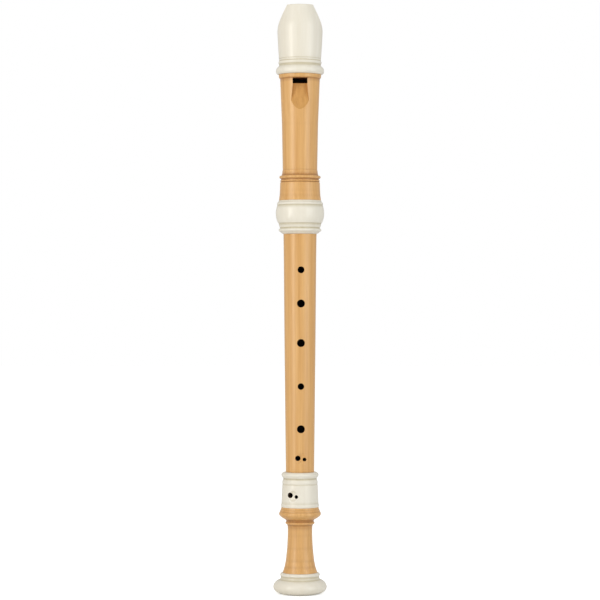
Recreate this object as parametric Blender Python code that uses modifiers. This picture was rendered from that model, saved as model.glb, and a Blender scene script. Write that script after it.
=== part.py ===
"""Alto recorder in pale wood with imitation ivory mounts, standing on its bell.

The instrument comes apart into a head, a middle and a foot joint, held by corked tenons. The bore runs
along Z, the foot's end ring stands on Z = 0, and the player looks at the back, so the window and the
finger holes face -Y. An outline is a list of (radius, height) in millimetres, as a turner would read it
off a template: it runs down the outside of a piece and back up its bore. A third number rounds the stretch
that ends there into an arc, standing that far out from the straight line, or sinking in if it is negative.
"""

import math

import bpy
from mathutils import Matrix, Vector

MM = 0.001

# Fineness of the turned surfaces.
FACETS = 32
ARC_STEP = math.radians(36)
LONGEST_STRAIGHT = 18.0
DRILL_FACETS = 20
SHARP_ANGLE = math.radians(34)

# Heights of the joins, in millimetres above the table.
LENGTH = 470.0
BEAK_BOTTOM = 414.9
SOCKET_RING_TOP = 314.3
HEAD_SHOULDER = 287.5
FOOT_SHOULDER = 97.45
SLEEVE_BOTTOM = 69.4
BELL_RING_TOP = 17.0

# Clearance between pieces that touch: across a turned fit, and along the bore.
FIT = 0.1
SEAM = 0.1

# The bore narrows from the block to the bell.
HEAD_BORE = 9.7
MIDDLE_BORE_TOP = 9.5
MIDDLE_BORE_END = 6.8
FOOT_BORE_END = 5.8

# Corked tenons of the middle joint.
UPPER_TENON = 12.0
UPPER_TENON_LENGTH = 22.0
LOWER_TENON = 10.0
LOWER_TENON_LENGTH = 14.0
CORK_DEPTH = 1.0
UPPER_CORK = (291.5, 305.5)
LOWER_CORK = (86.0, 94.5)
UPPER_CORE = 14.3
LOWER_CORE = 11.8

# Wood tenons glued into the beak and the bell ring.
BEAK_TENON = 13.4
BEAK_TENON_TOP = 427.0
BELL_TENON = 10.5
BELL_TENON_END = 0.3

# Voicing: the windway, the window and the ramp down to the lip. Depths are from the bore's axis to the front.
WINDWAY_WIDTH = 11.6
WINDWAY_FLOOR = 10.3
WINDWAY_ROOF = 11.5
WINDOW_WIDTH = 11.8
WINDOW_TOP = 411.7
LIP_HEIGHT = 407.2
LIP_DEPTH = 10.3
RAMP_SLOPE = 0.219
RAMP_LENGTH = 24.0
RAMP_HALF_WIDTH = 5.7
RAMP_FLARE = 0.094

# The back of the beak is hollowed by a large drum lying across it.
DRUM_RADIUS = 40.0
DRUM_BACK = 30.6
DRUM_HEIGHT = 473.9

# Finger holes: height and diameter. Angles turn to the player's left, which is +X, from the front.
MIDDLE_TURN = 3.6
FOOT_TURN = -22.8
SINGLE_HOLES = ((258.8, 5.4), (232.0, 6.3), (200.6, 6.3), (166.0, 5.2), (132.05, 6.3))
MIDDLE_PAIR = ((108.9, 4.2, -12.8), (107.9, 2.8, 15.1))
FOOT_PAIR = ((79.6, 4.3, -10.9), (78.4, 3.0, 10.9))
THUMB_HOLE = (268.0, 5.6)
DISH_DEPTH = 1.1
DISH_SIZE = (16.0, 10.0, 10.0)
MIDDLE_DISH = (108.5, 11.44, 0.6)
FOOT_DISH = (79.0, 14.55, 0.0)

BEAK_OUTLINE = (
    (13.5, LENGTH),
    (13.9, 469.5),
    (17.6, 455.9, 0.15),
    (18.1, 449.6, 0.13),
    (16.8, 427.0, 0.12),
    (16.6, 426.6),
    (16.85, 426.2),
    (16.85, 423.4, 0.45),
    (16.8, 422.2),
    (16.95, 421.7),
    (19.2, 417.7, 0.63),
    (17.7, BEAK_BOTTOM, 0.49),
    (BEAK_TENON + FIT, BEAK_BOTTOM),
    (BEAK_TENON + FIT, BEAK_TENON_TOP + SEAM),
    (HEAD_BORE, BEAK_TENON_TOP + SEAM),
    (HEAD_BORE, LENGTH),
)

HEAD_OUTLINE = (
    (BEAK_TENON, BEAK_TENON_TOP),
    (BEAK_TENON, BEAK_BOTTOM - SEAM),
    (16.7, BEAK_BOTTOM - SEAM),
    (16.6, 412.3, 0.25),
    (15.88, 411.3),
    (13.78, 339.6, -0.38),
    (13.8, 338.6),
    (14.1, 338.2),
    (14.6, 334.4, -0.1),
    (15.3, 334.3),
    (15.3, 331.9, 1.25),
    (15.1, 331.7),
    (15.15, 330.8, -0.1),
    (15.15, 329.2, 0.7),
    (15.3, 328.7),
    (15.95, 328.4),
    (16.05, 322.0),
    (16.85, SOCKET_RING_TOP + SEAM, -0.15),
    (UPPER_CORE, SOCKET_RING_TOP + SEAM),
    (UPPER_CORE, 290.1),
    (UPPER_TENON + 2 * FIT, 290.1),
    (UPPER_TENON + 2 * FIT, HEAD_SHOULDER + UPPER_TENON_LENGTH + 0.5),
    (HEAD_BORE, HEAD_SHOULDER + UPPER_TENON_LENGTH + 0.5),
    (HEAD_BORE, BEAK_TENON_TOP),
)

SOCKET_RING_OUTLINE = (
    (16.95, SOCKET_RING_TOP),
    (17.5, 312.8, -0.1),
    (18.0, 310.4, 0.5),
    (18.25, 310.2),
    (19.33, 304.0, 0.33),
    (17.6, 296.4, 0.45),
    (16.9, 295.9),
    (16.6, 293.8),
    (16.35, 291.8, -0.35),
    (15.9, 289.3, 0.95),
    (13.5, HEAD_SHOULDER + SEAM, 0.1),
    (UPPER_TENON + 2 * FIT, HEAD_SHOULDER + SEAM),
    (UPPER_TENON + 2 * FIT, 290.0),
    (UPPER_CORE + FIT, 290.0),
    (UPPER_CORE + FIT, SOCKET_RING_TOP),
)

MIDDLE_OUTLINE = (
    (UPPER_TENON - 0.3, HEAD_SHOULDER + UPPER_TENON_LENGTH),
    (UPPER_TENON, HEAD_SHOULDER + UPPER_TENON_LENGTH - 0.3),
    (UPPER_TENON, UPPER_CORK[1]),
    (UPPER_TENON - CORK_DEPTH, UPPER_CORK[1]),
    (UPPER_TENON - CORK_DEPTH, UPPER_CORK[0]),
    (UPPER_TENON, UPPER_CORK[0]),
    (UPPER_TENON, HEAD_SHOULDER),
    (13.2, HEAD_SHOULDER),
    (11.36, FOOT_SHOULDER),
    (LOWER_TENON, FOOT_SHOULDER),
    (LOWER_TENON, LOWER_CORK[1]),
    (LOWER_TENON - CORK_DEPTH, LOWER_CORK[1]),
    (LOWER_TENON - CORK_DEPTH, LOWER_CORK[0]),
    (LOWER_TENON, LOWER_CORK[0]),
    (LOWER_TENON, FOOT_SHOULDER - LOWER_TENON_LENGTH + 0.3),
    (LOWER_TENON - 0.3, FOOT_SHOULDER - LOWER_TENON_LENGTH),
    (MIDDLE_BORE_END, FOOT_SHOULDER - LOWER_TENON_LENGTH),
    (MIDDLE_BORE_TOP, HEAD_SHOULDER + UPPER_TENON_LENGTH),
)

SLEEVE_OUTLINE = (
    (12.4, FOOT_SHOULDER - SEAM),
    (14.87, 95.0, 0.71),
    (13.4, 92.4, 0.25),
    (13.4, 92.1),
    (14.0, 90.1),
    (13.95, 88.2, 0.22),
    (14.15, 87.6),
    (14.78, 72.6),
    (15.05, 72.2),
    (15.05, SLEEVE_BOTTOM, 0.17),
    (LOWER_CORE + FIT, SLEEVE_BOTTOM),
    (LOWER_CORE + FIT, 95.1),
    (LOWER_TENON + 2 * FIT, 95.1),
    (LOWER_TENON + 2 * FIT, FOOT_SHOULDER - SEAM),
)

FOOT_OUTLINE = (
    (LOWER_CORE, 95.0),
    (LOWER_CORE, SLEEVE_BOTTOM - SEAM),
    (14.95, SLEEVE_BOTTOM - SEAM),
    (15.75, 66.5, -0.2),
    (15.85, 66.1),
    (15.5, 61.9, 1.02),
    (13.3, 60.5, 0.15),
    (12.9, 60.2),
    (10.95, 57.7, -0.35),
    (10.9, 55.9, 0.75),
    (9.78, 52.6, -0.25),
    (9.78, 47.5),
    (11.32, 26.8, -0.32),
    (13.85, BELL_RING_TOP + SEAM, -0.3),
    (BELL_TENON, BELL_RING_TOP + SEAM),
    (BELL_TENON, BELL_TENON_END),
    (FOOT_BORE_END, BELL_TENON_END),
    (MIDDLE_BORE_END, FOOT_SHOULDER - LOWER_TENON_LENGTH - 0.2),
    (LOWER_TENON + 2 * FIT, FOOT_SHOULDER - LOWER_TENON_LENGTH - 0.2),
    (LOWER_TENON + 2 * FIT, 95.0),
)

BELL_RING_OUTLINE = (
    (14.2, BELL_RING_TOP),
    (15.85, 15.1, 0.4),
    (15.3, 14.1, 0.2),
    (15.9, 11.7, -0.1),
    (16.1, 11.3),
    (21.47, 5.5, 1.25),
    (14.4, 0.0, 1.4),
    (BELL_TENON + FIT, 0.0),
    (BELL_TENON + FIT, BELL_RING_TOP),
)

# The glued cork sleeves fill the grooves of the tenons.
UPPER_CORK_OUTLINE = (
    (UPPER_TENON + FIT, UPPER_CORK[1] - SEAM),
    (UPPER_TENON + FIT, UPPER_CORK[0] + SEAM),
    (UPPER_TENON - CORK_DEPTH + FIT, UPPER_CORK[0] + SEAM),
    (UPPER_TENON - CORK_DEPTH + FIT, UPPER_CORK[1] - SEAM),
)
LOWER_CORK_OUTLINE = (
    (LOWER_TENON + FIT, LOWER_CORK[1] - SEAM),
    (LOWER_TENON + FIT, LOWER_CORK[0] + SEAM),
    (LOWER_TENON - CORK_DEPTH + FIT, LOWER_CORK[0] + SEAM),
    (LOWER_TENON - CORK_DEPTH + FIT, LOWER_CORK[1] - SEAM),
)

# The block is turned solid, so its outline starts and ends on the axis.
BLOCK_OUTLINE = (
    (0.0, LENGTH + 1.0),
    (HEAD_BORE - FIT, LENGTH + 1.0),
    (HEAD_BORE - FIT, WINDOW_TOP + 0.4),
    (HEAD_BORE - FIT - 0.4, WINDOW_TOP),
    (0.0, WINDOW_TOP),
)


def clear_scene():
    """Empty the scene, so that the script gives the same model each time it is run."""
    for obj in list(bpy.data.objects):
        bpy.data.objects.remove(obj)


def collection(name):
    """A new collection in the scene."""
    made = bpy.data.collections.new(name)
    bpy.context.scene.collection.children.link(made)
    return made


def principled(name, color, roughness):
    """A material with the piece's colour and roughness; none of them is metal."""
    material = bpy.data.materials.new(name)
    material.use_nodes = True
    shader = material.node_tree.nodes["Principled BSDF"]
    shader.inputs["Base Color"].default_value = (*color, 1.0)
    shader.inputs["Roughness"].default_value = roughness
    shader.inputs["Metallic"].default_value = 0.0
    return material


def arc(start, end, rise):
    """Points after start, up to and with end, on the arc that stands rise out from their chord."""
    chord = end - start
    half = chord.length / 2
    along = chord.normalized()
    outward = Vector((-along.y, along.x)) * math.copysign(1.0, rise)
    sweep = 4 * math.atan2(abs(rise), half)
    radius = (half**2 + rise**2) / (2 * abs(rise))
    centre = (start + end) / 2 + outward * (abs(rise) - radius)
    steps = max(2, math.ceil(sweep / ARC_STEP), math.ceil(2 * half / LONGEST_STRAIGHT))
    points = []
    for step in range(1, steps):
        angle = sweep * (step / steps - 0.5)
        points.append(centre + radius * (math.sin(angle) * along + math.cos(angle) * outward))
    return points + [end]


def profile_points(outline):
    """The outline's (radius, height) points, with its arcs worked out."""
    points = []
    for radius, height, *rise in outline:
        end = Vector((radius, height))
        if rise:
            points += arc(points[-1], end, rise[0])
        else:
            points.append(end)
    return points


def turned(name, outline, seat, closed=True):
    """A piece turned on the lathe.

    seat is the height of the piece's origin, which lies on the bore's axis where the piece seats. A closed
    outline is a ring round the bore, and an open one starts and ends on the axis.
    """
    points = [(p.x * MM, 0.0, (p.y - seat) * MM) for p in profile_points(outline)]
    edges = [(index, index + 1) for index in range(len(points) - 1)]
    if closed:
        edges.append((len(points) - 1, 0))
    mesh = bpy.data.meshes.new(name)
    mesh.from_pydata(points, edges, [])
    obj = bpy.data.objects.new(name, mesh)
    obj.location.z = seat * MM
    parts.objects.link(obj)
    screw = obj.modifiers.new("lathe", "SCREW")
    screw.axis = "Z"
    screw.steps = FACETS
    screw.render_steps = FACETS
    screw.use_merge_vertices = True
    screw.merge_threshold = 0.00001
    return obj


def as_tool(obj, name):
    """Name the active primitive and keep it with the cutters, where it isn't part of the model."""
    obj.name = name
    obj.hide_render = True
    obj.display_type = "WIRE"
    for home in list(obj.users_collection):
        home.objects.unlink(obj)
    cutters.objects.link(obj)
    return obj


def bar_tool(name, width, depths, heights):
    """A square bar across the front of the bore, between two depths and two heights."""
    bpy.ops.mesh.primitive_cube_add(size=1.0)
    bar = as_tool(bpy.context.object, name)
    size = Vector((width, depths[1] - depths[0], heights[1] - heights[0])) * MM
    middle = Vector((0.0, -sum(depths) / 2, sum(heights) / 2)) * MM
    bar.data.transform(Matrix.Translation(middle) @ Matrix.Diagonal((*size, 1.0)))
    return bar


def drum_tool():
    """The drum that hollows the back of the beak."""
    bpy.ops.mesh.primitive_cylinder_add(vertices=120, radius=DRUM_RADIUS * MM, depth=0.06)
    drum = as_tool(bpy.context.object, "beak_drum")
    place = Matrix.Translation(Vector((0.0, DRUM_BACK, DRUM_HEIGHT)) * MM)
    drum.data.transform(place @ Matrix.Rotation(math.pi / 2, 4, "Y"))
    return drum


def ramp_tool():
    """The chisel that cuts the ramp from the lip out to the surface, flaring as it goes down."""
    bpy.ops.mesh.primitive_cube_add(size=2.0)
    chisel = as_tool(bpy.context.object, "ramp_chisel")
    start = LIP_HEIGHT + 0.8
    for vertex in chisel.data.vertices:
        height = start if vertex.co.z > 0 else LIP_HEIGHT - RAMP_LENGTH
        depth = 22.0 if vertex.co.y < 0 else LIP_DEPTH + (LIP_HEIGHT - height) * RAMP_SLOPE
        half_width = RAMP_HALF_WIDTH + (LIP_HEIGHT - height) * RAMP_FLARE
        vertex.co = Vector((math.copysign(half_width, vertex.co.x), -depth, height)) * MM
    return chisel


def round_the_bore(angle, height):
    """Turn from the front by angle in degrees round the bore, at a height."""
    turn = Matrix.Rotation(math.radians(angle), 4, "Z")
    return turn @ Matrix.Translation((0.0, 0.0, height * MM))


def drill_tool(name, height, diameter, angle):
    """A drill that enters the wall on one side and stops on the bore's axis."""
    bpy.ops.mesh.primitive_cylinder_add(
        vertices=DRILL_FACETS, radius=diameter / 2 * MM, depth=20 * MM, rotation=(math.pi / 2, 0.0, 0.0)
    )
    drill = as_tool(bpy.context.object, name)
    place = round_the_bore(angle, height) @ Matrix.Translation((0.0, -0.010, 0.0))
    drill.matrix_world = place @ drill.matrix_basis
    return drill


def dish_tool(name, height, surface, angle):
    """A wide burr that sinks a shallow dish round a pair of holes."""
    bpy.ops.mesh.primitive_uv_sphere_add(segments=40, ring_count=24, radius=MM)
    burr = as_tool(bpy.context.object, name)
    burr.data.transform(Matrix.Diagonal((DISH_SIZE[0], DISH_SIZE[2], DISH_SIZE[1], 1.0)))
    centre = surface + DISH_SIZE[2] - DISH_DEPTH
    burr.matrix_world = round_the_bore(angle, height) @ Matrix.Translation((0.0, -centre * MM, 0.0))
    return burr


def work(piece, tool, operation="DIFFERENCE"):
    """Cut the piece with the tool, or glue the tool's shape on."""
    step = piece.modifiers.new(tool.name, "BOOLEAN")
    step.object = tool
    step.operation = operation
    step.solver = "EXACT"


def finish(piece, material, parent):
    """Keep the result of the lathe and the tools as the piece's mesh, shade it, and hang it on its axis."""
    graph = bpy.context.evaluated_depsgraph_get()
    mesh = bpy.data.meshes.new_from_object(piece.evaluated_get(graph))
    piece.modifiers.clear()
    piece.data = mesh
    mesh.name = piece.name
    mesh.materials.clear()
    mesh.materials.append(material)
    mesh.shade_smooth()
    mesh.set_sharp_from_angle(angle=SHARP_ANGLE)
    piece.parent = parent
    piece.matrix_parent_inverse = parent.matrix_world.inverted()


def axis_empty(name, height, parent=None):
    """An empty on the bore's axis: what hangs on it turns about the bore, or slides along it."""
    empty = bpy.data.objects.new(name, None)
    empty.empty_display_type = "ARROWS"
    empty.empty_display_size = 0.03
    empty.location.z = height * MM
    parts.objects.link(empty)
    bpy.context.view_layer.update()
    if parent:
        empty.parent = parent
        empty.matrix_parent_inverse = parent.matrix_world.inverted()
    bpy.context.view_layer.update()
    return empty


def make_head(turn_axis):
    """The head joint, its beak and socket ring, and the block that closes the bore under the windway."""
    head = turned("head_joint", HEAD_OUTLINE, HEAD_SHOULDER)
    beak = turned("beak", BEAK_OUTLINE, HEAD_SHOULDER)
    ring = turned("head_socket_ring", SOCKET_RING_OUTLINE, HEAD_SHOULDER)
    block = turned("block", BLOCK_OUTLINE, WINDOW_TOP, closed=False)

    window = bar_tool("window_cutter", WINDOW_WIDTH, (5.0, 25.0), (LIP_HEIGHT, WINDOW_TOP))
    windway = bar_tool("windway_cutter", WINDWAY_WIDTH, (6.0, WINDWAY_ROOF), (WINDOW_TOP - 1.5, 480.0))
    floor = bar_tool("windway_floor", WINDWAY_WIDTH - 2 * FIT, (6.0, WINDWAY_FLOOR), (WINDOW_TOP, 480.0))
    tip = bar_tool("tip_saw", 60.0, (-40.0, 40.0), (LENGTH, 490.0))
    drum = drum_tool()

    work(head, window)
    work(head, windway)
    work(head, ramp_tool())
    work(beak, windway)
    work(beak, drum)
    work(block, floor, "UNION")
    work(block, tip)
    work(block, drum)

    pull = axis_empty("head_pull", HEAD_SHOULDER, turn_axis)
    push = axis_empty("block_push", WINDOW_TOP, pull)
    finish(head, wood, pull)
    finish(beak, ivory, pull)
    finish(ring, ivory, pull)
    finish(block, cedar, push)


def make_middle(root, head_turn, foot_turn):
    """The middle joint with its finger holes, and the cork on its two tenons."""
    middle = turned("middle_joint", MIDDLE_OUTLINE, HEAD_SHOULDER)
    for number, (height, diameter) in enumerate(SINGLE_HOLES, start=1):
        work(middle, drill_tool(f"hole_{number}_drill", height, diameter, MIDDLE_TURN))
    work(middle, drill_tool("thumb_hole_drill", *THUMB_HOLE, MIDDLE_TURN + 180))
    height, surface, angle = MIDDLE_DISH
    work(middle, dish_tool("hole_6_burr", height, surface, MIDDLE_TURN + angle))
    for height, diameter, angle in MIDDLE_PAIR:
        work(middle, drill_tool("hole_6_drill", height, diameter, MIDDLE_TURN + angle))
    finish(middle, wood, root)
    finish(turned("upper_tenon_cork", UPPER_CORK_OUTLINE, HEAD_SHOULDER), cork, head_turn)
    finish(turned("lower_tenon_cork", LOWER_CORK_OUTLINE, FOOT_SHOULDER), cork, foot_turn)


def make_foot(turn_axis):
    """The foot joint, its sleeve with the lowest pair of holes, and the bell ring that it stands on."""
    foot = turned("foot_joint", FOOT_OUTLINE, FOOT_SHOULDER)
    sleeve = turned("foot_sleeve", SLEEVE_OUTLINE, FOOT_SHOULDER)
    ring = turned("foot_bell_ring", BELL_RING_OUTLINE, FOOT_SHOULDER)
    height, surface, angle = FOOT_DISH
    work(sleeve, dish_tool("hole_7_burr", height, surface, FOOT_TURN + angle))
    for height, diameter, angle in FOOT_PAIR:
        drill = drill_tool("hole_7_drill", height, diameter, FOOT_TURN + angle)
        work(sleeve, drill)
        work(foot, drill)

    pull = axis_empty("foot_pull", FOOT_SHOULDER, turn_axis)
    finish(foot, wood, pull)
    finish(sleeve, ivory, pull)
    finish(ring, ivory, pull)


clear_scene()
parts = collection("alto_recorder")
cutters = collection("cutters")
wood = principled("pale_wood", (0.72, 0.42, 0.16), 0.42)
ivory = principled("imitation_ivory", (0.83, 0.76, 0.62), 0.3)
cork = principled("cork", (0.42, 0.25, 0.12), 0.9)
cedar = principled("cedar", (0.36, 0.15, 0.07), 0.7)

recorder = axis_empty("recorder", 0.0)
head_turn_axis = axis_empty("head_turn", HEAD_SHOULDER, recorder)
foot_turn_axis = axis_empty("foot_turn", FOOT_SHOULDER, recorder)
make_head(head_turn_axis)
make_middle(recorder, head_turn_axis, foot_turn_axis)
make_foot(foot_turn_axis)
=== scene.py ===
"""Looks of an alto recorder in pale wood with imitation ivory mounts, standing on its bell.

Lengths are millimetres, as on a turner's template, and MM turns them into metres. Only the studio is in
metres. An outline is a list of (radius, height) down the outside of a piece and back up its bore. A third
number rounds the stretch that ends there into an arc that stands so far out from the straight line.
"""

import logging
import math
from collections.abc import Callable, Sequence
from dataclasses import dataclass, replace
from enum import Enum

import bpy
from mathutils import Matrix, Vector
from mathutils.kdtree import KDTree


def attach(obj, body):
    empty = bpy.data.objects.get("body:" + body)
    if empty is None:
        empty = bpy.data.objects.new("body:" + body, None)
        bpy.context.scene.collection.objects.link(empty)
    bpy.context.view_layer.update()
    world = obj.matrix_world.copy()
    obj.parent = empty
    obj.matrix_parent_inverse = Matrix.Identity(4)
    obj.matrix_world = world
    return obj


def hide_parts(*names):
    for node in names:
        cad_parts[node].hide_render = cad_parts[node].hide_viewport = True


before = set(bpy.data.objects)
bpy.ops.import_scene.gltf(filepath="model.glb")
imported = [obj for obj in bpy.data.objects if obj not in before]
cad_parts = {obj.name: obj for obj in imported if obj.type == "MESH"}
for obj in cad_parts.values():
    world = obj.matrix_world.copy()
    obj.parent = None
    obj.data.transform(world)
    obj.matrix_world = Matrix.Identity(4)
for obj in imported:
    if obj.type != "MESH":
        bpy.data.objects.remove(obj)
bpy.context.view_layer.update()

log = logging.getLogger("alto_recorder")

MM = 0.001
Outline = tuple[tuple[float, ...], ...]
Colour = tuple[float, float, float]
Piece = bpy.types.Object
Socket = bpy.types.NodeSocket


class Body(Enum):
    """The rigid bodies that the pieces move with."""

    MIDDLE = "middle"
    UPPER_CORK = "upper_cork"
    HEAD = "head"
    BLOCK = "block"
    LOWER_CORK = "lower_cork"
    FOOT = "foot"


class Slot(Enum):
    """The record's material slots."""

    WOOD = "wood"
    IVORY = "imitation_ivory"
    CORK = "cork"
    CEDAR = "cedar"


def srgb(red: int, green: int, blue: int) -> Colour:
    """Turn a screen colour into the linear values that a shader takes.

    Args:
        red: Red, 0 to 255.
        green: Green, 0 to 255.
        blue: Blue, 0 to 255.

    Returns:
        The three linear values.
    """
    parts = [value / 255 for value in (red, green, blue)]
    linear = [p / 12.92 if p <= 0.04045 else ((p + 0.055) / 1.055) ** 2.4 for p in parts]
    return (linear[0], linear[1], linear[2])


# Modelling by hand


def select_only(piece: Piece) -> None:
    """Make the piece the active one and the only one selected.

    Args:
        piece: The piece.
    """
    bpy.ops.object.select_all(action="DESELECT")
    piece.select_set(True)
    bpy.context.view_layer.objects.active = piece


def apply_place(piece: Piece) -> None:
    """Move the piece's place into its mesh, so that it sits at the origin."""
    select_only(piece)
    bpy.ops.object.transform_apply(location=True, rotation=True, scale=True)


def start_from(primitive: Callable[..., set[str]], **settings: object) -> Piece:
    """Add a primitive while nothing else is selected.

    Args:
        primitive: The operator that adds it.
        settings: The operator's settings.

    Returns:
        The new object.
    """
    bpy.ops.object.select_all(action="DESELECT")
    primitive(**settings)
    return bpy.context.object


def round_the_bore(distance: float, height: float, angle: float) -> Matrix:
    """The place at a distance in front of the bore's axis, turned round it.

    Args:
        distance: Distance from the axis, in millimetres.
        height: Height, in millimetres.
        angle: Turn from the front, in degrees.

    Returns:
        The place, in metres.
    """
    turn = Matrix.Rotation(math.radians(angle), 4, "Z")
    return turn @ Matrix.Translation(Vector((0.0, -distance, height)) * MM)


def arc_points(start: Vector, end: Vector, rise: float, step: float) -> list[Vector]:
    """Points after start, up to and with end, on the arc that stands rise out from their chord.

    Args:
        start: First point of the arc, as (radius, height).
        end: Last point of the arc.
        rise: How far the arc's middle stands out from the chord; a negative one sinks in.
        step: Largest turn between neighbouring points, in radians.

    Returns:
        The points in order.
    """
    half = (end - start).length / 2
    along = (end - start).normalized()
    outward = Vector((-along.y, along.x)) * math.copysign(1.0, rise)
    sweep = 4 * math.atan2(abs(rise), half)
    radius = (half**2 + rise**2) / (2 * abs(rise))
    centre = (start + end) / 2 + outward * (abs(rise) - radius)
    steps = max(2, math.ceil(sweep / step))
    points = []
    for index in range(1, steps):
        angle = sweep * (index / steps - 0.5)
        points.append(centre + radius * (math.sin(angle) * along + math.cos(angle) * outward))
    return points + [end]


@dataclass(frozen=True)
class Lathe:
    """Turns an outline into a piece by spinning it round the bore's axis.

    A point lies fully in a groove where it is groove_depth inside the line between the points that are
    groove_reach away on both its sides.
    """

    facets: int = 128
    arc_step: float = math.radians(9)
    longest_straight: float = 2.5
    weld: float = 0.002
    groove_reach: float = 1.1
    groove_depth: float = 0.45

    def template(self, outline: Outline) -> list[Vector]:
        """Work out the outline's points, with its arcs and with long straights divided.

        Args:
            outline: The outline, as the top of this file says.

        Returns:
            The points in order, as (radius, height) in millimetres.
        """
        rough: list[Vector] = []
        for radius, height, *rise in outline:
            end = Vector((radius, height))
            rough += arc_points(rough[-1], end, rise[0], self.arc_step) if rise else [end]
        points = [rough[0]]
        for end in rough[1:]:
            start = points[-1]
            cuts = max(1, math.ceil((end - start).length / self.longest_straight))
            points += [start.lerp(end, cut / cuts) for cut in range(1, cuts + 1)]
        return points

    def turn(self, name: str, outline: Outline, closed: bool = True) -> Piece:
        """Draw the outline point by point and spin it into a closed piece.

        Args:
            name: Name of the piece.
            outline: The outline, as the top of this file says.
            closed: Whether the outline is a ring's; an open one starts and ends on the axis.

        Returns:
            The new object, at the origin.
        """
        points = [Vector((p.x, 0.0, p.y)) * MM for p in self.template(outline)]
        if closed:
            points.append(points[0])
        piece = start_from(bpy.ops.mesh.primitive_plane_add, size=MM, location=points[0])
        piece.name = name
        apply_place(piece)
        bpy.ops.object.mode_set(mode="EDIT")
        bpy.ops.mesh.select_mode(type="VERT")
        bpy.ops.mesh.select_all(action="SELECT")
        bpy.ops.mesh.merge(type="CENTER")
        for start, end in zip(points, points[1:]):
            bpy.ops.mesh.extrude_region_move(TRANSFORM_OT_translate={"value": end - start})
        bpy.ops.mesh.select_all(action="SELECT")
        bpy.ops.mesh.spin(steps=self.facets, angle=math.tau, center=(0, 0, 0), axis=(0, 0, 1))
        bpy.ops.mesh.select_all(action="SELECT")
        bpy.ops.mesh.remove_doubles(threshold=self.weld * MM)
        bpy.ops.mesh.normals_make_consistent(inside=False)
        bpy.ops.object.mode_set(mode="OBJECT")
        self.mark_grooves(piece, points)
        return piece

    def out_of_reach(self, way: list[Vector]) -> Vector:
        """The first point of a way that a groove at its start doesn't reach.

        Args:
            way: Points in order, in metres.

        Returns:
            That point, or the way's last one.
        """
        reach = self.groove_reach * MM
        return next((point for point in way if (point - way[0]).length > reach), way[-1])

    def mark_grooves(self, piece: Piece, points: list[Vector]) -> None:
        """Store on each vertex how deep it lies in a groove, where the finishes paint shade.

        Args:
            piece: The turned piece.
            points: The outline in metres, with radius as X.
        """
        tree = KDTree(len(points))
        depths = []
        for index, point in enumerate(points):
            tree.insert(point, index)
            before = self.out_of_reach(points[index::-1])
            after = self.out_of_reach(points[index:])
            chord = (after - before).normalized()
            outward = Vector((-chord.z, 0.0, chord.x))
            gap = ((before + after) / 2 - point).dot(outward)
            depths.append(min(max(gap / (self.groove_depth * MM), 0.0), 1.0))
        tree.balance()
        marks = piece.data.attributes.new("groove", "FLOAT", "POINT")
        for vertex, mark in zip(piece.data.vertices, marks.data):
            flat = Vector((math.hypot(vertex.co.x, vertex.co.y), 0.0, vertex.co.z))
            mark.value = depths[tree.find(flat)[1]]


@dataclass(frozen=True)
class Hole:
    """A finger hole, at a turn round the bore from the front that is in degrees."""

    height: float
    diameter: float
    angle: float = 0.0
    rim_slack: float = 0.01
    wall_slack: float = 0.02
    wall_tilt: float = 0.2

    def turned(self, angle: float) -> "Hole":
        """The same hole, turned further round the bore."""
        return replace(self, angle=self.angle + angle)

    def to_front(self, vector: Vector) -> Vector:
        """Turn a point or a normal round the bore as the hole would turn to come to the front."""
        return Matrix.Rotation(math.radians(-self.angle), 3, "Z") @ vector

    def gap(self, point: Vector) -> float:
        """How far a point lies outside the hole's wall.

        Args:
            point: The point, in millimetres.

        Returns:
            The distance, negative inside the hole and endless behind the bore's axis.
        """
        front = self.to_front(point)
        if front.y >= 0:
            return math.inf
        return math.hypot(front.x, front.z - self.height) - self.diameter / 2

    def on_rim(self, point: Vector) -> bool:
        """Whether a point, in millimetres, lies on one of the hole's two edges."""
        return abs(self.gap(point)) < self.rim_slack

    def in_wall(self, point: Vector, normal: Vector) -> bool:
        """Whether a face, given by its centre in millimetres and its normal, is part of the hole's wall."""
        return self.gap(point) < self.wall_slack and abs(self.to_front(normal).y) < self.wall_tilt


@dataclass(frozen=True)
class Dish:
    """A shallow dish round a pair of holes, sunk by a burr whose half sizes are across, deep and high."""

    height: float
    surface: float
    angle: float
    depth: float
    burr: tuple[float, float, float]

    def turned(self, angle: float) -> "Dish":
        """The same dish, turned further round the bore."""
        return replace(self, angle=self.angle + angle)


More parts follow.
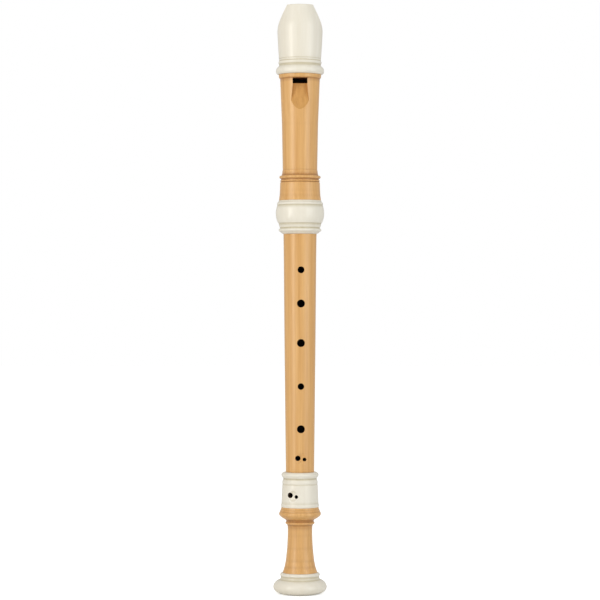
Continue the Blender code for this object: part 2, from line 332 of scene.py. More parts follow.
@dataclass(frozen=True)
class Bench:
    """Cutting and joining with tools that are used up."""

    smooth_angle: float = math.radians(32)
    drill_sides: int = 48
    drill_length: float = 20.0
    burr_sides: int = 96
    ease_width: float = 0.25
    ease_steps: int = 3

    def work(self, piece: Piece, tool: Piece, operation: str = "DIFFERENCE") -> None:
        """Cut the piece with the tool, or join the tool to it, and put the tool away.

        Args:
            piece: The piece that is worked on.
            tool: The tool's shape.
            operation: The Boolean operation.
        """
        select_only(piece)
        step = piece.modifiers.new("tool", "BOOLEAN")
        step.object = tool
        step.operation = operation
        step.solver = "EXACT"
        bpy.ops.object.modifier_apply(modifier=step.name)
        bpy.data.objects.remove(tool)

    def bar(self, width: float, depths: tuple[float, float], heights: tuple[float, float]) -> Piece:
        """A square bar across the front of the bore.

        Args:
            width: Width along X.
            depths: Nearest and furthest distance in front of the bore's axis.
            heights: Lowest and highest height.

        Returns:
            The tool.
        """
        middle = Vector((0.0, -sum(depths) / 2, sum(heights) / 2)) * MM
        size = Vector((width, depths[1] - depths[0], heights[1] - heights[0])) * MM
        tool = start_from(bpy.ops.mesh.primitive_cube_add, size=1.0, location=middle, scale=size)
        apply_place(tool)
        return tool

    def drill(self, hole: Hole) -> Piece:
        """A drill that enters the wall from one side and stops on the bore's axis.

        Args:
            hole: The hole that it makes.

        Returns:
            The tool.
        """
        tool = start_from(
            bpy.ops.mesh.primitive_cylinder_add,
            vertices=self.drill_sides,
            radius=hole.diameter / 2 * MM,
            depth=self.drill_length * MM,
            rotation=(math.pi / 2, 0, 0),
        )
        place = round_the_bore(self.drill_length / 2, hole.height, hole.angle)
        tool.matrix_world = place @ tool.matrix_world
        apply_place(tool)
        return tool

    def burr(self, dish: Dish) -> Piece:
        """A wide rounded burr that sinks a shallow dish.

        Args:
            dish: The dish that it makes.

        Returns:
            The tool.
        """
        tool = start_from(
            bpy.ops.mesh.primitive_uv_sphere_add,
            segments=self.burr_sides,
            ring_count=self.burr_sides // 2,
            radius=1.0,
        )
        place = round_the_bore(dish.surface + dish.burr[1] - dish.depth, dish.height, dish.angle)
        tool.matrix_world = place @ Matrix.Diagonal((*(Vector(dish.burr) * MM), 1.0))
        apply_place(tool)
        return tool

    def ease(self, piece: Piece, holes: Sequence[Hole], skin: float) -> None:
        """Round the outer edges of the piece's holes a little.

        Args:
            piece: The drilled piece.
            holes: The holes.
            skin: A radius inside the wall, beyond which a hole has its outer edge only.
        """
        select_only(piece)
        bpy.ops.object.mode_set(mode="EDIT")
        bpy.ops.mesh.select_mode(type="EDGE")
        bpy.ops.mesh.select_all(action="DESELECT")
        bpy.ops.object.mode_set(mode="OBJECT")
        on_rim = []
        for vertex in piece.data.vertices:
            point = vertex.co / MM
            outside = math.hypot(point.x, point.y) >= skin
            on_rim.append(outside and any(hole.on_rim(point) for hole in holes))
        for edge in piece.data.edges:
            edge.select = on_rim[edge.vertices[0]] and on_rim[edge.vertices[1]]
        width = self.ease_width * MM
        bpy.ops.object.mode_set(mode="EDIT")
        bpy.ops.mesh.bevel(offset=width, segments=self.ease_steps, affect="EDGES", clamp_overlap=True)
        bpy.ops.object.mode_set(mode="OBJECT")

    def smooth(self, piece: Piece) -> None:
        """Shade the piece smooth, apart from its sharp edges."""
        select_only(piece)
        bpy.ops.object.shade_smooth_by_angle(angle=self.smooth_angle)


# Finishes


@dataclass(frozen=True)
class NodeBoard:
    """The nodes of one material or group."""

    tree: bpy.types.NodeTree

    def add(self, kind: str, **settings: object) -> bpy.types.Node:
        """Place a node.

        Args:
            kind: The node's type.
            settings: Values for its properties.

        Returns:
            The node.
        """
        node = self.tree.nodes.new(kind)
        for key, value in settings.items():
            setattr(node, key, value)
        return node

    def feed(self, source: Socket | float, target: Socket) -> None:
        """Link an output to an input, or set the input to a number.

        Args:
            source: The output or the number.
            target: The input.
        """
        if isinstance(source, Socket):
            self.tree.links.new(source, target)
        else:
            target.default_value = source

    def calculate(self, operation: str, *values: Socket | float, clamp: bool = False) -> Socket:
        """Work out a value.

        Args:
            operation: The Math node's operation.
            values: What it works on, outputs or numbers.
            clamp: Whether the result is kept between 0 and 1.

        Returns:
            The result.
        """
        node = self.add("ShaderNodeMath", operation=operation, use_clamp=clamp)
        for value, target in zip(values, node.inputs):
            self.feed(value, target)
        return node.outputs["Value"]

    def blend(self, factor: Socket, low: Colour, high: Colour) -> Socket:
        """Mix two colours by a value that changes over the surface.

        Args:
            factor: The value, 0 to 1.
            low: Colour at 0.
            high: Colour at 1.

        Returns:
            The mixed colour.
        """
        mix = self.add("ShaderNodeMix", data_type="RGBA")
        self.feed(factor, mix.inputs["Factor"])
        mix.inputs["A"].default_value = (*low, 1.0)
        mix.inputs["B"].default_value = (*high, 1.0)
        return mix.outputs["Result"]

    def multiply(self, colour: Socket, factor: Socket, tint: Colour) -> Socket:
        """Darken a colour by a tint where the factor is high.

        Args:
            colour: The colour that comes in.
            factor: Where the tint shows, 0 to 1.
            tint: The tint.

        Returns:
            The new colour.
        """
        mix = self.add("ShaderNodeMix", data_type="RGBA", blend_type="MULTIPLY")
        self.feed(factor, mix.inputs["Factor"])
        self.feed(colour, mix.inputs["A"])
        mix.inputs["B"].default_value = (*tint, 1.0)
        return mix.outputs["Result"]


@dataclass(frozen=True)
class Streaks:
    """Noise drawn out along the bore, for grain and for the drawn look of turned work."""

    fine_scale: float = 4.5
    detail: float = 4.0
    roughness: float = 0.55
    middle: float = 0.5

    def group(self) -> bpy.types.NodeTree:
        """Build the group that every finish uses.

        Returns:
            The group, with inputs Scale, Stretch and Contrast, and outputs Broad and Fine.
        """
        tree = bpy.data.node_groups.new("streaks", "ShaderNodeTree")
        for name in ("Scale", "Stretch", "Contrast"):
            tree.interface.new_socket(name, in_out="INPUT", socket_type="NodeSocketFloat")
        for name in ("Broad", "Fine"):
            tree.interface.new_socket(name, in_out="OUTPUT", socket_type="NodeSocketFloat")
        board = NodeBoard(tree)
        entry = board.add("NodeGroupInput")
        leave = board.add("NodeGroupOutput")
        place = board.add("ShaderNodeTexCoord")
        split = board.add("ShaderNodeSeparateXYZ")
        merge = board.add("ShaderNodeCombineXYZ")
        board.feed(place.outputs["Object"], split.inputs["Vector"])
        board.feed(split.outputs["X"], merge.inputs["X"])
        board.feed(split.outputs["Y"], merge.inputs["Y"])
        drawn_out = board.calculate("DIVIDE", split.outputs["Z"], entry.outputs["Stretch"])
        board.feed(drawn_out, merge.inputs["Z"])
        for name, factor in (("Broad", 1.0), ("Fine", self.fine_scale)):
            noise = board.add("ShaderNodeTexNoise")
            board.feed(self.detail, noise.inputs["Detail"])
            board.feed(self.roughness, noise.inputs["Roughness"])
            board.feed(merge.outputs["Vector"], noise.inputs["Vector"])
            board.feed(board.calculate("MULTIPLY", entry.outputs["Scale"], factor), noise.inputs["Scale"])
            swing = board.calculate("SUBTRACT", noise.outputs["Fac"], self.middle)
            contrast = entry.outputs["Contrast"]
            sharp = board.calculate("MULTIPLY_ADD", swing, contrast, self.middle, clamp=True)
            board.feed(sharp, leave.inputs[name])
        return tree


@dataclass(frozen=True)
class Finish:
    """A finish with drawn-out grain between two colours, with fine dark lines, painted shade in the grooves
    and a slight relief.
    """

    name: str
    light: Colour
    dark: Colour
    line_tint: Colour
    scale: float
    stretch: float
    contrast: float
    roughness: float
    relief: float
    # Painted shade: the tint that darkens the colour where a vertex lies deep in a groove.
    groove_shade: Colour = (1.0, 1.0, 1.0)
    roughness_spread: float = 0.05
    coat: float = 0.0
    coat_roughness: float = 0.4

    def material(self, streaks: bpy.types.NodeTree) -> bpy.types.Material:
        """Build the finish as a material.

        Args:
            streaks: The shared group of drawn-out noise.

        Returns:
            The material.
        """
        made = bpy.data.materials.new(self.name)
        made.use_nodes = True
        board = NodeBoard(made.node_tree)
        shader = made.node_tree.nodes["Principled BSDF"]
        grain = board.add("ShaderNodeGroup", node_tree=streaks)
        board.feed(self.scale, grain.inputs["Scale"])
        board.feed(self.stretch, grain.inputs["Stretch"])
        board.feed(self.contrast, grain.inputs["Contrast"])
        groove = board.add("ShaderNodeAttribute", attribute_name="groove")
        colour = board.blend(grain.outputs["Broad"], self.dark, self.light)
        colour = board.multiply(colour, grain.outputs["Fine"], self.line_tint)
        # Painted shade: the grooves' depth darkens the colour, standing in for the shade that falls in
        # them.
        colour = board.multiply(colour, groove.outputs["Fac"], self.groove_shade)
        board.feed(colour, shader.inputs["Base Color"])
        rough = board.add("ShaderNodeMapRange")
        board.feed(self.roughness - self.roughness_spread, rough.inputs["To Min"])
        board.feed(self.roughness + self.roughness_spread, rough.inputs["To Max"])
        board.feed(grain.outputs["Broad"], rough.inputs["Value"])
        board.feed(rough.outputs["Result"], shader.inputs["Roughness"])
        bump = board.add("ShaderNodeBump")
        board.feed(1.0, bump.inputs["Strength"])
        board.feed(self.relief * MM, bump.inputs["Distance"])
        board.feed(grain.outputs["Fine"], bump.inputs["Height"])
        board.feed(bump.outputs["Normal"], shader.inputs["Normal"])
        board.feed(self.coat, shader.inputs["Coat Weight"])
        board.feed(self.coat_roughness, shader.inputs["Coat Roughness"])
        return made


OILED_MAPLE = Finish(
    name="oiled_maple",
    light=srgb(236, 188, 122),
    dark=srgb(214, 160, 90),
    line_tint=(0.86, 0.82, 0.74),
    # Painted shade in the grooves between beads and bands.
    groove_shade=(0.62, 0.5, 0.36),
    scale=420.0,
    stretch=60.0,
    contrast=1.9,
    roughness=0.42,
    coat=0.3,
    coat_roughness=0.32,
    relief=0.012,
)
# Cut maple: rough and without coat, as cut wood is; its darker colour is partly that of cut wood and partly
# painted shade on the ramp.
CUT_MAPLE_AND_SHADE = Finish(
    name="cut_maple_and_shade",
    light=srgb(218, 165, 94),
    dark=srgb(198, 144, 74),
    line_tint=(0.86, 0.82, 0.74),
    scale=420.0,
    stretch=60.0,
    contrast=1.9,
    roughness=0.6,
    relief=0.012,
)
# The bore is oiled, darker wood; its very dark colour is also painted shade, and on the finger holes' walls
# it is painted shade only.
DARK_BORE_AND_SHADE = Finish(
    name="oiled_bore_and_painted_shade",
    light=srgb(52, 34, 20),
    dark=srgb(30, 18, 10),
    line_tint=(0.8, 0.76, 0.7),
    scale=300.0,
    stretch=40.0,
    contrast=2.0,
    roughness=0.6,
    relief=0.01,
)
POLISHED_IVORY = Finish(
    name="imitation_ivory",
    light=srgb(238, 233, 219),
    dark=srgb(230, 223, 205),
    line_tint=(0.99, 0.985, 0.97),
    # Painted shade in the grooves between beads and bands.
    groove_shade=(0.74, 0.7, 0.58),
    scale=260.0,
    stretch=40.0,
    contrast=1.4,
    roughness=0.4,
    roughness_spread=0.03,
    coat=0.35,
    coat_roughness=0.26,
    relief=0.003,
)
BARE_CORK = Finish(
    name="bare_cork",
    light=srgb(205, 156, 108),
    dark=srgb(150, 104, 66),
    line_tint=(0.62, 0.5, 0.4),
    scale=420.0,
    stretch=1.4,
    contrast=3.0,
    roughness=0.85,
    relief=0.12,
)
BARE_CEDAR = Finish(
    name="bare_cedar",
    light=srgb(190, 122, 82),
    dark=srgb(150, 88, 56),
    line_tint=(0.8, 0.7, 0.64),
    scale=260.0,
    stretch=30.0,
    contrast=2.6,
    roughness=0.7,
    relief=0.03,
)
FINISHES = {
    Slot.WOOD: OILED_MAPLE,
    Slot.IVORY: POLISHED_IVORY,
    Slot.CORK: BARE_CORK,
    Slot.CEDAR: BARE_CEDAR,
}


@dataclass(frozen=True)
class Workshop:
    """The tools and finishes that every joint is made with."""

    lathe: Lathe
    bench: Bench
    finishes: dict[Slot, bpy.types.Material]
    bore_and_shade_finish: bpy.types.Material
    cut_and_shade_finish: bpy.types.Material
    bore_slack: float = 0.05
    facing_in: float = -0.7
    facing_along: float = 0.999

    def darken_inside(self, piece: Piece, bore: float, holes: Sequence[Hole] = ()) -> None:
        """Give the bore its dark oiled finish, deepened by painted shade, and give the walls of the finger
        holes the same dark colour as painted shade.

        Args:
            piece: The piece, already dressed.
            bore: Largest radius of the bore that is darkened.
            holes: The piece's finger holes.
        """
        piece.data.materials.append(self.bore_and_shade_finish)
        inside = len(piece.data.materials) - 1
        for face in piece.data.polygons:
            centre = face.center / MM
            radial = Vector((centre.x, centre.y, 0.0))
            faces_in = face.normal.dot(radial.normalized()) < self.facing_in
            in_bore = faces_in and radial.length < bore + self.bore_slack
            # The hole walls get the dark colour as painted shade.
            if in_bore or any(hole.in_wall(centre, face.normal) for hole in holes):
                face.material_index = inside

    def mark_cut(self, piece: Piece, normal: Vector, heights: tuple[float, float]) -> None:
        """Give the flat faces of a cut a rough finish without coat, as cut wood has, whose darker colour is
        partly painted shade.

        Args:
            piece: The piece, already dressed.
            normal: The way that the cut's faces point.
            heights: Lowest and highest height of the cut.
        """
        piece.data.materials.append(self.cut_and_shade_finish)
        cut = len(piece.data.materials) - 1
        for face in piece.data.polygons:
            between = heights[0] <= face.center.z / MM <= heights[1]
            if between and face.normal.dot(normal) > self.facing_along:
                face.material_index = cut

    def deliver(self, piece: Piece, slot: Slot, body: Body, node: str) -> None:
        """Shade and dress a finished piece, and put it in its node's place.

        Args:
            piece: The finished piece.
            slot: Its material slot.
            body: The body that it moves with.
            node: The CAD node that it stands for.
        """
        self.bench.smooth(piece)
        piece.data.materials.clear()
        piece.data.materials.append(self.finishes[slot])
        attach(piece, body.value)
        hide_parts(node)
        log.info("%s: %d faces, on %s", piece.name, len(piece.data.polygons), body.value)


@dataclass(frozen=True)
class HeadJoint:
    """The head: wood body with window and ramp, beak, socket ring and block."""

    length: float = 470.0
    beak_bottom: float = 414.9
    ring_top: float = 314.3
    core_bottom: float = 290.1
    shoulder: float = 287.5
    tenon_length: float = 22.0
    tenon_play: float = 0.5
    tenon: float = 12.0
    fit: float = 0.1
    bore: float = 9.7
    core: float = 14.3
    beak_tenon: float = 13.4
    beak_tenon_top: float = 427.0
    windway_width: float = 11.6
    windway_floor: float = 10.3
    windway_roof: float = 11.5
    window_width: float = 11.8
    window_top: float = 411.7
    window_cut: tuple[float, float] = (5.0, 25.0)
    bar_start: float = 6.0
    overlap: float = 1.5
    overshoot: float = 10.0
    lip_height: float = 407.2
    lip_depth: float = 10.3
    ramp_slope: float = 0.219
    ramp_length: float = 24.0
    ramp_half_width: float = 5.7
    ramp_flare: float = 0.094
    chisel_lead: float = 0.8
    chisel_back: float = 22.0
    drum_radius: float = 40.0
    drum_back: float = 30.6
    drum_height: float = 473.9
    drum_width: float = 60.0
    drum_sides: int = 360
    block_excess: float = 1.0
    block_edge: float = 0.4
    trim_depths: tuple[float, float] = (-40.0, 40.0)

    def beak_outline(self) -> Outline:
        """The beak, from its tip down to its big ring and back up its bore.

        Returns:
            The outline.
        """
        inner = self.beak_tenon + self.fit
        return (
            (13.5, self.length),
            (13.9, self.length - 0.4, 0.1),
            (17.6, 455.9, 0.15),
            (18.1, 449.6, 0.13),
            (16.84, 427.9, 0.12),
            (16.55, 427.5, -0.05),
            (16.82, 427.1, -0.05),
            (16.8, 426.3),
            (16.6, 425.9, -0.05),
            (16.85, 425.5, -0.05),
            (16.88, 423.4, 0.42),
            (16.65, 422.8, -0.06),
            (16.75, 422.2, -0.06),
            (17.4, 421.2, -0.06),
            (19.2, 417.9, 0.5),
            (17.5, self.beak_bottom + 0.1, 0.62),
            (17.0, self.beak_bottom),
            (inner, self.beak_bottom),
            (inner, self.beak_tenon_top + self.fit),
            (self.bore, self.beak_tenon_top + self.fit),
            (self.bore, self.length),
        )

    def wood_outline(self) -> Outline:
        """The wood body, from the beak's tenon down to the socket's mouth and back up the bore.

        Returns:
            The outline.
        """
        socket = self.tenon + 2 * self.fit
        socket_top = self.shoulder + self.tenon_length + self.tenon_play
        return (
            (self.beak_tenon, self.beak_tenon_top),
            (self.beak_tenon, self.beak_bottom - self.fit),
            (16.75, self.beak_bottom - self.fit),
            (16.9, self.beak_bottom - 0.3, 0.05),
            (16.7, 412.3, 0.1),
            (15.95, 411.35, -0.15),
            (15.82, 410.8, -0.05),
            (13.8, 339.6, -0.38),
            (13.78, 338.5),
            (14.05, 338.1, 0.06),
            (14.6, 334.6, -0.12),
            (15.0, 334.25, -0.08),
            (15.4, 334.1),
            (15.4, 331.75, 1.1),
            (15.2, 331.4, -0.08),
            (15.15, 330.7, -0.06),
            (15.15, 329.2, 0.68),
            (15.45, 328.85, -0.1),
            (15.85, 328.5, 0.08),
            (16.05, 322.0),
            (16.85, self.ring_top + self.fit, -0.15),
            (self.core, self.ring_top + self.fit),
            (self.core, self.core_bottom),
            (socket, self.core_bottom),
            (socket, socket_top),
            (self.bore, socket_top),
            (self.bore, self.beak_tenon_top),
        )

    def ring_outline(self) -> Outline:
        """The socket ring, a bulb between small bands, closed below by a lip.

        Returns:
            The outline.
        """
        socket = self.tenon + 2 * self.fit
        return (
            (16.9, self.ring_top),
            (17.1, 314.0, 0.05),
            (17.5, 313.1, -0.1),
            (17.7, 312.9, -0.05),
            (18.1, 310.75, 0.52),
            (18.1, 310.5, -0.06),
            (18.25, 310.3, 0.02),
            (19.33, 304.0, 0.33),
            (17.7, 296.6, 0.45),
            (17.2, 296.2, 0.08),
            (16.9, 295.8, -0.08),
            (16.6, 293.8),
            (16.0, 292.7, 0.05),
            (16.3, 291.8, -0.25),
            (16.1, 289.5, 0.85),
            (13.6, self.shoulder + self.fit, 0.1),
            (socket, self.shoulder + self.fit),
            (socket, self.core_bottom - self.fit),
            (self.core + self.fit, self.core_bottom - self.fit),
            (self.core + self.fit, self.ring_top),
        )

    def block_outline(self) -> Outline:
        """The block, a plug of the bore's size, open on its axis.

        Returns:
            The outline.
        """
        radius = self.bore - self.fit
        return (
            (0.0, self.length + self.block_excess),
            (radius, self.length + self.block_excess),
            (radius, self.window_top + self.block_edge),
            (radius - self.block_edge, self.window_top, 0.1),
            (0.0, self.window_top),
        )

    def windway_bar(self, bench: Bench) -> Piece:
        """The bar that cuts the windway, from the window up past the tip.

        Args:
            bench: Where the bar is made.

        Returns:
            The tool.
        """
        heights = (self.window_top - self.overlap, self.length + self.overshoot)
        return bench.bar(self.windway_width, (self.bar_start, self.windway_roof), heights)

    def drum(self) -> Piece:
        """The drum that hollows the back of the beak.

        Returns:
            The tool.
        """
        tool = start_from(
            bpy.ops.mesh.primitive_cylinder_add,
            vertices=self.drum_sides,
            radius=self.drum_radius * MM,
            depth=self.drum_width * MM,
            location=Vector((0.0, self.drum_back, self.drum_height)) * MM,
            rotation=(0, math.pi / 2, 0),
        )
        apply_place(tool)
        return tool

    def ramp_chisel(self) -> Piece:
        """The chisel that cuts the ramp below the lip, wider and shallower as it goes down.

        Returns:
            The tool.
        """
        top = self.lip_height + self.chisel_lead
        bottom = self.lip_height - self.ramp_length
        tool = start_from(bpy.ops.mesh.primitive_cube_add, size=2.0)
        for vertex in tool.data.vertices:
            height = top if vertex.co.z > 0 else bottom
            below = self.lip_height - height
            depth = self.chisel_back if vertex.co.y < 0 else self.lip_depth + below * self.ramp_slope
            side = math.copysign(self.ramp_half_width + below * self.ramp_flare, vertex.co.x)
            vertex.co = Vector((side, -depth, height)) * MM
        return tool

    def make_wood(self, shop: Workshop) -> None:
        """Make the wood body, with its window, windway and ramp.

        Args:
            shop: The tools and finishes.
        """
        bench = shop.bench
        wood = shop.lathe.turn("head_wood", self.wood_outline())
        window = bench.bar(self.window_width, self.window_cut, (self.lip_height, self.window_top))
        bench.work(wood, window)
        bench.work(wood, self.windway_bar(bench))
        bench.work(wood, self.ramp_chisel())
        shop.deliver(wood, Slot.WOOD, Body.HEAD, "head_joint")
        shop.darken_inside(wood, self.bore)
        slope = Vector((0.0, -1.0, self.ramp_slope)).normalized()
        # The ramp's faces get the cut finish, darker partly as painted shade.
        shop.mark_cut(wood, slope, (self.lip_height - self.ramp_length, self.lip_height))

    def make_beak(self, shop: Workshop) -> None:
        """Make the beak, with its windway and its hollowed back.

        Args:
            shop: The tools and finishes.
        """
        beak = shop.lathe.turn("beak_shell", self.beak_outline())
        shop.bench.work(beak, self.windway_bar(shop.bench))
        shop.bench.work(beak, self.drum())
        shop.deliver(beak, Slot.IVORY, Body.HEAD, "beak")

    def make_block(self, shop: Workshop) -> None:
        """Make the block, with the key that is the windway's floor, and cut it to the beak's back.

        Args:
            shop: The tools and finishes.
        """
        bench = shop.bench
        top = self.length + self.overshoot
        block = shop.lathe.turn("windway_block", self.block_outline(), closed=False)
        key_depths = (self.bar_start, self.windway_floor)
        key = bench.bar(self.windway_width - 2 * self.fit, key_depths, (self.window_top, top))
        bench.work(block, key, "UNION")
        trim = bench.bar(self.drum_width, self.trim_depths, (self.length, top + self.overshoot))
        bench.work(block, trim)
        bench.work(block, self.drum())
        shop.deliver(block, Slot.CEDAR, Body.BLOCK, "block")

    def build(self, shop: Workshop) -> None:
        """Make the head's four pieces.

        Args:
            shop: The tools and finishes.
        """
        self.make_wood(shop)
        self.make_beak(shop)
        ring = shop.lathe.turn("socket_ring", self.ring_outline())
        shop.deliver(ring, Slot.IVORY, Body.HEAD, "head_socket_ring")
        self.make_block(shop)


@dataclass(frozen=True)
class MiddleJoint:
    """The middle: a long tapering tube with the finger holes and a corked tenon at each end.

    The holes are the five single ones from the top, the two of the pair, and the thumb hole on the back.
    """

    top: float = 309.5
    head_shoulder: float = 287.5
    foot_shoulder: float = 97.45
    bottom: float = 83.45
    upper_tenon: float = 12.0
    lower_tenon: float = 10.0
    tenon_edge: float = 0.3
    cork_depth: float = 1.0
    fit: float = 0.1
    bore_top: float = 9.5
    bore_end: float = 6.8
    skin: float = 10.0
    upper_cork: tuple[float, float] = (291.5, 305.5)
    lower_cork: tuple[float, float] = (86.0, 94.5)
    turn: float = 3.6
    holes: tuple[Hole, ...] = (
        Hole(258.8, 5.4),
        Hole(232.0, 6.3),
        Hole(200.6, 6.3),
        Hole(166.0, 5.2),
        Hole(132.05, 6.3),
        Hole(108.9, 4.2, -12.8),
        Hole(107.9, 2.9, 15.6),
        Hole(268.0, 5.6, 180.0),
    )
    dish: Dish = Dish(108.6, 11.44, 0.6, 1.15, (6.6, 2.6, 5.4))

    def outline(self) -> Outline:
        """The wood tube with its tenons and cork grooves, and its tapering bore.

        Returns:
            The outline.
        """
        upper = self.upper_tenon
        lower = self.lower_tenon
        return (
            (upper - self.tenon_edge, self.top),
            (upper, self.top - self.tenon_edge, 0.08),
            (upper, self.upper_cork[1]),
            (upper - self.cork_depth, self.upper_cork[1]),
            (upper - self.cork_depth, self.upper_cork[0]),
            (upper, self.upper_cork[0]),
            (upper, self.head_shoulder),
            (13.1, self.head_shoulder),
            (13.22, self.head_shoulder - 0.15, 0.03),
            (12.95, 266.8, -0.02),
            (12.4, 202.8),
            (11.4, 104.0),
            (11.34, self.foot_shoulder + 0.15),
            (11.2, self.foot_shoulder, 0.03),
            (lower, self.foot_shoulder),
            (lower, self.lower_cork[1]),
            (lower - self.cork_depth, self.lower_cork[1]),
            (lower - self.cork_depth, self.lower_cork[0]),
            (lower, self.lower_cork[0]),
            (lower, self.bottom + self.tenon_edge),
            (lower - self.tenon_edge, self.bottom, 0.08),
            (self.bore_end, self.bottom),
            (self.bore_top, self.top),
        )

    def cork_outline(self, radius: float, ends: tuple[float, float]) -> Outline:
        """A cork sleeve in its groove.

        Args:
            radius: Radius of the tenon.
            ends: Lowest and highest height of the groove.

        Returns:
            The outline, with rounded outer edges.
        """
        outer = radius + self.fit
        inner = radius - self.cork_depth + self.fit
        low = ends[0] + self.fit
        high = ends[1] - self.fit
        return (
            (outer - 0.3, high),
            (outer, high - 0.5, 0.1),
            (outer, low + 0.5),
            (outer - 0.3, low, 0.1),
            (inner, low),
            (inner, high),
        )

    def make_wood(self, shop: Workshop) -> None:
        """Make the wood tube, with its dish and its holes.

        Args:
            shop: The tools and finishes.
        """
        bench = shop.bench
        holes = [hole.turned(self.turn) for hole in self.holes]
        wood = shop.lathe.turn("middle_wood", self.outline())
        bench.work(wood, bench.burr(self.dish.turned(self.turn)))
        for hole in holes:
            bench.work(wood, bench.drill(hole))
        bench.ease(wood, holes, self.skin)
        shop.deliver(wood, Slot.WOOD, Body.MIDDLE, "middle_joint")
        shop.darken_inside(wood, self.bore_top, holes)

    def build(self, shop: Workshop) -> None:
        """Make the middle joint and its two corks.

        Args:
            shop: The tools and finishes.
        """
        self.make_wood(shop)
        upper = shop.lathe.turn("upper_cork_sleeve", self.cork_outline(self.upper_tenon, self.upper_cork))
        shop.deliver(upper, Slot.CORK, Body.UPPER_CORK, "upper_tenon_cork")
        lower = shop.lathe.turn("lower_cork_sleeve", self.cork_outline(self.lower_tenon, self.lower_cork))
        shop.deliver(lower, Slot.CORK, Body.LOWER_CORK, "lower_tenon_cork")


@dataclass(frozen=True)
class FootJoint:
    """The foot: wood body, sleeve with the lowest pair of holes, and the bell ring."""

    shoulder: float = 97.45
    sleeve_bottom: float = 69.4
    ring_top: float = 17.0
    socket: float = 10.2
    socket_bottom: float = 83.25
    core: float = 11.8
    core_top: float = 95.0
    fit: float = 0.1
    bore_end: float = 5.8
    bore_top: float = 6.8
    skin: float = 13.0
    bell_tenon: float = 10.5
    bell_tenon_end: float = 0.3
    turn: float = -22.8
    holes: tuple[Hole, ...] = (Hole(79.6, 4.3, -10.9), Hole(78.4, 3.0, 10.9))
    dish: Dish = Dish(79.2, 14.55, 0.0, 0.95, (6.4, 2.4, 5.4))

    def sleeve_outline(self) -> Outline:
        """The sleeve, with a bead at its top and a lip at its bottom.

        Returns:
            The outline.
        """
        return (
            (12.3, self.shoulder - self.fit),
            (14.87, 94.95, 0.72),
            (14.4, 93.9, 0.06),
            (13.45, 92.5, 0.12),
            (13.36, 92.2, -0.05),
            (13.6, 91.3, -0.05),
            (13.75, 90.8),
            (14.0, 88.0, 0.28),
            (13.95, 87.5, -0.03),
            (14.2, 86.6, 0.02),
            (14.42, 81.2),
            (14.78, 72.4),
            (15.05, 71.7, -0.04),
            (15.0, self.sleeve_bottom, 0.16),
            (self.core + self.fit, self.sleeve_bottom),
            (self.core + self.fit, self.core_top + self.fit),
            (self.socket, self.core_top + self.fit),
            (self.socket, self.shoulder - self.fit),
        )

    def wood_outline(self) -> Outline:
        """The wood body, from the socket's core down over bulb, bead, waist and flare to a tenon.

        Returns:
            The outline.
        """
        return (
            (self.core, self.core_top),
            (self.core, self.sleeve_bottom - self.fit),
            (14.9, self.sleeve_bottom - self.fit),
            (15.2, 67.6, -0.05),
            (15.75, 66.9, -0.08),
            (15.85, 65.9),
            (15.95, 65.7),
            (15.95, 62.3, 0.78),
            (15.0, 61.45, 0.08),
            (14.6, 61.15, -0.06),
            (12.2, 59.75, 0.1),
            (10.95, 57.7, -0.3),
            (10.9, 55.7, 0.7),
            (10.2, 54.9, -0.12),
            (9.78, 52.4, -0.1),
            (9.78, 47.0),
            (11.32, 26.8, -0.3),
            (13.85, self.ring_top + self.fit, -0.3),
            (self.bell_tenon, self.ring_top + self.fit),
            (self.bell_tenon, self.bell_tenon_end),
            (self.bore_end, self.bell_tenon_end),
            (self.bore_top, self.socket_bottom),
            (self.socket, self.socket_bottom),
            (self.socket, self.core_top),
        )

    def ring_outline(self) -> Outline:
        """The bell ring: a thin lip, a short neck and a wide rounded foot with a flat end.

        Returns:
            The outline.
        """
        return (
            (14.3, self.ring_top),
            (15.5, 16.3, 0.2),
            (15.45, 14.3, 0.45),
            (15.3, 13.9, -0.06),
            (15.6, 12.4, -0.08),
            (16.1, 11.6, -0.06),
            (16.7, 11.25, -0.05),
            (21.47, 5.5, 1.2),
            (19.4, 1.95, 0.4),
            (14.4, 0.0, 0.3),
            (self.bell_tenon + self.fit, 0.0),
            (self.bell_tenon + self.fit, self.ring_top),
        )

    def make_body(self, shop: Workshop) -> None:
        """Make the sleeve and the wood body, and drill the pair of holes through both.

        Args:
            shop: The tools and finishes.
        """
        bench = shop.bench
        holes = [hole.turned(self.turn) for hole in self.holes]
        sleeve = shop.lathe.turn("sleeve_ring", self.sleeve_outline())
        bench.work(sleeve, bench.burr(self.dish.turned(self.turn)))
        wood = shop.lathe.turn("foot_wood", self.wood_outline())
        for hole in holes:
            bench.work(sleeve, bench.drill(hole))
            bench.work(wood, bench.drill(hole))
        bench.ease(sleeve, holes, self.skin)
        shop.deliver(sleeve, Slot.IVORY, Body.FOOT, "foot_sleeve")
        shop.deliver(wood, Slot.WOOD, Body.FOOT, "foot_joint")
        shop.darken_inside(sleeve, 0.0, holes)
        shop.darken_inside(wood, self.bore_top, holes)

    def build(self, shop: Workshop) -> None:
        """Make the foot's three pieces.

        Args:
            shop: The tools and finishes.
        """
        self.make_body(shop)
        ring = shop.lathe.turn("bell_ring", self.ring_outline())
        shop.deliver(ring, Slot.IVORY, Body.FOOT, "foot_bell_ring")


# The photograph's studio


@dataclass(frozen=True)
class Softbox:
    """A soft lamp that points at the recorder."""

    name: str
    place: tuple[float, float, float]
    size: tuple[float, float]
    power: float
    colour: Colour

    def hang(self, target: Vector) -> None:
        """Hang the lamp in the studio.

        Args:
            target: The point that it faces.
        """
        lamp = bpy.data.lights.new(self.name, "AREA")
        lamp.shape = "RECTANGLE"
        lamp.size, lamp.size_y = self.size
        lamp.energy = self.power
        lamp.color = self.colour
        holder = bpy.data.objects.new(self.name, lamp)
        bpy.context.scene.collection.objects.link(holder)
        holder.location = self.place
        holder.rotation_euler = (target - holder.location).to_track_quat("-Z", "Y").to_euler()


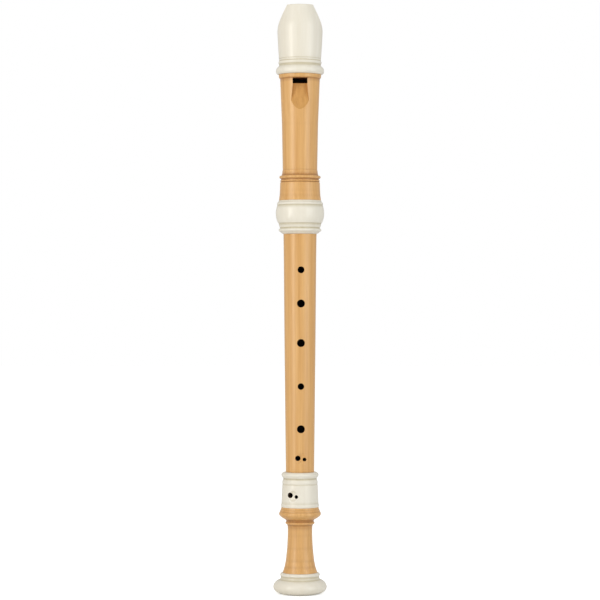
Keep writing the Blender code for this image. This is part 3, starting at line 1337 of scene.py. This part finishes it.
@dataclass(frozen=True)
class Studio:
    """A white floor and backdrop, soft lamps and the photograph's camera, in metres."""

    camera_distance: float = 1.76
    camera_height: float = 0.2348
    lens: float = 132.0
    sensor: float = 36.0
    floor_size: float = 12.0
    paper_shade: float = 0.9
    paper_roughness: float = 0.9
    floor_glow: float = 0.55
    sky_strength: float = 0.55
    lamp_target: tuple[float, float, float] = (0.0, 0.0, 0.235)
    lamps: tuple[Softbox, ...] = (
        Softbox("left_softbox", (-1.35, -1.2, 0.35), (0.55, 1.7), 17.0, (1.0, 0.965, 0.92)),
        Softbox("right_softbox", (1.35, -1.15, 0.35), (0.8, 1.7), 13.0, (0.94, 0.97, 1.0)),
        Softbox("top_softbox", (0.0, -1.0, 1.9), (1.2, 1.2), 3.0, (1.0, 1.0, 1.0)),
    )

    def photographer(self) -> None:
        """Set up the camera."""
        lens = bpy.data.cameras.new("camera")
        lens.lens = self.lens
        lens.sensor_width = self.sensor
        camera = bpy.data.objects.new("camera", lens)
        bpy.context.scene.collection.objects.link(camera)
        camera.location = (0.0, -self.camera_distance, self.camera_height)
        camera.rotation_euler = (math.pi / 2, 0.0, 0.0)
        bpy.context.scene.camera = camera

    def floor(self) -> None:
        """Lay the floor, of pale paper that is white to the camera and keeps the object's shadow."""
        floor = start_from(bpy.ops.mesh.primitive_plane_add, size=self.floor_size)
        floor.name = "studio_floor"
        paper = bpy.data.materials.new("white_paper")
        paper.use_nodes = True
        board = NodeBoard(paper.node_tree)
        shader = paper.node_tree.nodes["Principled BSDF"]
        shader.inputs["Base Color"].default_value = (self.paper_shade,) * 3 + (1.0,)
        shader.inputs["Emission Color"].default_value = (1.0, 1.0, 1.0, 1.0)
        board.feed(self.paper_roughness, shader.inputs["Roughness"])
        board.feed(0.0, shader.inputs["Specular IOR Level"])
        path = board.add("ShaderNodeLightPath")
        glow = board.calculate("MULTIPLY", path.outputs["Is Camera Ray"], self.floor_glow)
        board.feed(glow, shader.inputs["Emission Strength"])
        floor.data.materials.append(paper)

    def sky(self) -> None:
        """Set the white surroundings: plain white to the camera, and softer as light."""
        world = bpy.data.worlds.new("studio_white")
        bpy.context.scene.world = world
        world.use_nodes = True
        board = NodeBoard(world.node_tree)
        background = world.node_tree.nodes["Background"]
        background.inputs["Color"].default_value = (1.0, 1.0, 1.0, 1.0)
        path = board.add("ShaderNodeLightPath")
        strength = board.add("ShaderNodeMapRange")
        board.feed(self.sky_strength, strength.inputs["To Min"])
        board.feed(1.0, strength.inputs["To Max"])
        board.feed(path.outputs["Is Camera Ray"], strength.inputs["Value"])
        board.feed(strength.outputs["Result"], background.inputs["Strength"])

    def build(self) -> None:
        """Set up camera, floor, surroundings and lamps."""
        self.photographer()
        self.floor()
        self.sky()
        for lamp in self.lamps:
            lamp.hang(Vector(self.lamp_target))
        bpy.context.scene.view_settings.view_transform = "Standard"


def main() -> None:
    """Build the studio and the recorder."""
    logging.basicConfig(level=logging.INFO, format="%(name)s: %(message)s")
    streaks = Streaks().group()
    finishes = {slot: finish.material(streaks) for slot, finish in FINISHES.items()}
    shop = Workshop(Lathe(), Bench(), finishes, DARK_BORE_AND_SHADE.material(streaks), CUT_MAPLE_AND_SHADE.material(streaks))
    Studio().build()
    HeadJoint().build(shop)
    MiddleJoint().build(shop)
    FootJoint().build(shop)


if __name__ == "__main__":
    main()
